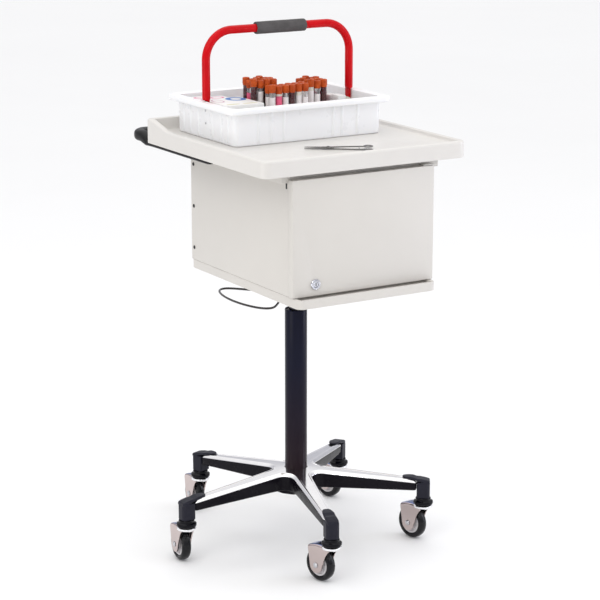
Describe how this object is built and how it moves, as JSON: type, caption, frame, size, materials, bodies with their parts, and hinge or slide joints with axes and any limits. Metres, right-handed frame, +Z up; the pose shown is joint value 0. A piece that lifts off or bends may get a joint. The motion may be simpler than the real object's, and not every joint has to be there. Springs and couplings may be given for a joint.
{
  "type": "mobile blood draw cart",
  "caption": "Small lockable cabinet and tray top on a height-adjustable column and star caster base, with a lift-off carry tray of sample tubes and a locking clamp.",
  "frame": {"origin": "bottom centre of the bounding box, on the floor under the cart", "axes": "+Z up, +X along the width of the door, -Y towards the door side, +Y towards the push handle"},
  "size_m": [0.573, 0.6408, 1.1751],
  "materials": {
    "star_steel": "polished",
    "cap_plastic": "moulded",
    "collar_plastic": "gloss",
    "fork_chrome": "polished",
    "axle_steel": "zinc plated",
    "wheel_core": "moulded",
    "wheel_tyre": "satin",
    "column_black": "gloss",
    "bush_black": "moulded",
    "inner_tube": "gloss",
    "plate_black": "satin",
    "lever_wire": "gloss",
    "laminate": "satin laminate",
    "hinge_steel": "satin",
    "lock_chrome": "polished",
    "worktop_plastic": "satin",
    "handle_black": "satin",
    "tray_plastic": "satin",
    "handle_red": "gloss",
    "grip_foam": "foam",
    "tube_caps": "satin",
    "carton_paper": "paper",
    "carton_cream": "paper",
    "clamp_steel": "satin"
  },
  "bodies": {
    "base": {"star_base": "star_steel", "leg_cap_1": "cap_plastic", "leg_cap_2": "cap_plastic", "leg_cap_3": "cap_plastic", "leg_cap_4": "cap_plastic", "leg_cap_5": "cap_plastic", "caster_collar_1": "collar_plastic", "caster_collar_2": "collar_plastic", "caster_collar_3": "collar_plastic", "caster_collar_4": "collar_plastic", "caster_collar_5": "collar_plastic", "column_tube": "column_black", "column_bush": "bush_black"},
    "swivel_1": {"caster_fork_1": "fork_chrome", "caster_axle_1": "axle_steel"},
    "wheel_1": {"wheel_core_1": "wheel_core", "wheel_tyre_1": "wheel_tyre"},
    "swivel_2": {"caster_fork_2": "fork_chrome", "caster_axle_2": "axle_steel"},
    "wheel_2": {"wheel_core_2": "wheel_core", "wheel_tyre_2": "wheel_tyre"},
    "swivel_3": {"caster_fork_3": "fork_chrome", "caster_axle_3": "axle_steel"},
    "wheel_3": {"wheel_core_3": "wheel_core", "wheel_tyre_3": "wheel_tyre"},
    "swivel_4": {"caster_fork_4": "fork_chrome", "caster_axle_4": "axle_steel"},
    "wheel_4": {"wheel_core_4": "wheel_core", "wheel_tyre_4": "wheel_tyre"},
    "swivel_5": {"caster_fork_5": "fork_chrome", "caster_axle_5": "axle_steel"},
    "wheel_5": {"wheel_core_5": "wheel_core", "wheel_tyre_5": "wheel_tyre"},
    "upper": {"column_inner_tube": "inner_tube", "column_top_plate": "plate_black", "release_bracket": "plate_black", "cabinet_bottom_board": "laminate", "cabinet_top_board": "laminate", "cabinet_left_panel": "laminate", "cabinet_right_panel": "laminate", "cabinet_back_panel": "laminate", "hinge_pin_lower": "hinge_steel", "hinge_bracket_upper": "hinge_steel", "worktop": "worktop_plastic", "push_handle": "handle_black"},
    "release_lever": {"release_loop": "lever_wire"},
    "door": {"cabinet_door": "laminate", "lock_body": "lock_chrome"},
    "lock_cam": {"lock_plug": "lock_chrome"},
    "carry_tray": {"tray_tub": "tray_plastic", "tray_handle": "handle_red", "handle_grip": "grip_foam", "tube_bundle_1": "tube_caps", "tube_bundle_2": "tube_caps", "tube_bundle_3": "tube_caps", "swab_carton": "carton_paper", "wipe_carton": "carton_cream", "bandage_carton": "carton_paper"},
    "clamp_lower": {"haemostat_lower": "clamp_steel"},
    "clamp_upper": {"haemostat_upper": "clamp_steel"}
  },
  "joints": [
    {"name": "caster_swivel_1", "type": "hinge", "parent": "base", "child": "swivel_1", "pos_m": [0.26416, -0.18034, 0.094], "axis": [0, 0, 1], "continuous": true},
    {"name": "wheel_spin_1", "type": "hinge", "parent": "swivel_1", "child": "wheel_1", "pos_m": [0.2574, -0.14855, 0.0375], "axis": [0.9781, 0.2079, 0], "continuous": true},
    {"name": "caster_swivel_2", "type": "hinge", "parent": "base", "child": "swivel_2", "pos_m": [0.25055, 0.15854, 0.094], "axis": [0, 0, 1], "continuous": true},
    {"name": "wheel_spin_2", "type": "hinge", "parent": "swivel_2", "child": "wheel_2", "pos_m": [0.24214, 0.18993, 0.0375], "axis": [0.9659, 0.2588, 0], "continuous": true},
    {"name": "caster_swivel_3", "type": "hinge", "parent": "base", "child": "swivel_3", "pos_m": [-0.07595, 0.25032, 0.094], "axis": [0, 0, 1], "continuous": true},
    {"name": "wheel_spin_3", "type": "hinge", "parent": "swivel_3", "child": "wheel_3", "pos_m": [-0.07396, 0.28276, 0.0375], "axis": [0.9981, -0.061, 0], "continuous": true},
    {"name": "caster_swivel_4", "type": "hinge", "parent": "base", "child": "swivel_4", "pos_m": [-0.26412, -0.03184, 0.094], "axis": [0, 0, 1], "continuous": true},
    {"name": "wheel_spin_4", "type": "hinge", "parent": "swivel_4", "child": "wheel_4", "pos_m": [-0.26129, 0.00053, 0.0375], "axis": [0.9962, -0.0872, 0], "continuous": true},
    {"name": "caster_swivel_5", "type": "hinge", "parent": "base", "child": "swivel_5", "pos_m": [-0.05393, -0.298, 0.094], "axis": [0, 0, 1], "continuous": true},
    {"name": "wheel_spin_5", "type": "hinge", "parent": "swivel_5", "child": "wheel_5", "pos_m": [-0.06151, -0.2664, 0.0375], "axis": [0.9724, 0.2334, 0], "continuous": true},
    {"name": "column_lift", "type": "slide", "parent": "base", "child": "upper", "axis": [0, 0, 1], "range_m": [0, 0.18]},
    {"name": "release_lever_tilt", "type": "hinge", "parent": "upper", "child": "release_lever", "pos_m": [-0.01186, -0.02026, 0.581], "axis": [0, 1, 0], "range_deg": [0, 8]},
    {"name": "door_hinge", "type": "hinge", "parent": "upper", "child": "door", "pos_m": [0.19764, -0.29126, 0.764], "axis": [0, 0, 1], "range_deg": [0, 110]},
    {"name": "lock_turn", "type": "hinge", "parent": "door", "child": "lock_cam", "pos_m": [-0.09466, -0.29626, 0.6685], "axis": [0, -1, 0], "range_deg": [0, 90]},
    {"name": "tray_lift_off", "type": "slide", "parent": "upper", "child": "carry_tray", "axis": [0, 0, 1], "range_m": [0, 0.15]},
    {"name": "clamp_lift_off", "type": "slide", "parent": "upper", "child": "clamp_lower", "axis": [0, 0, 1], "range_m": [0, 0.1]},
    {"name": "clamp_screw", "type": "hinge", "parent": "clamp_lower", "child": "clamp_upper", "pos_m": [-0.00809, -0.20475, 0.934], "axis": [0, 0, 1], "range_deg": [0, 30]}
  ]
}
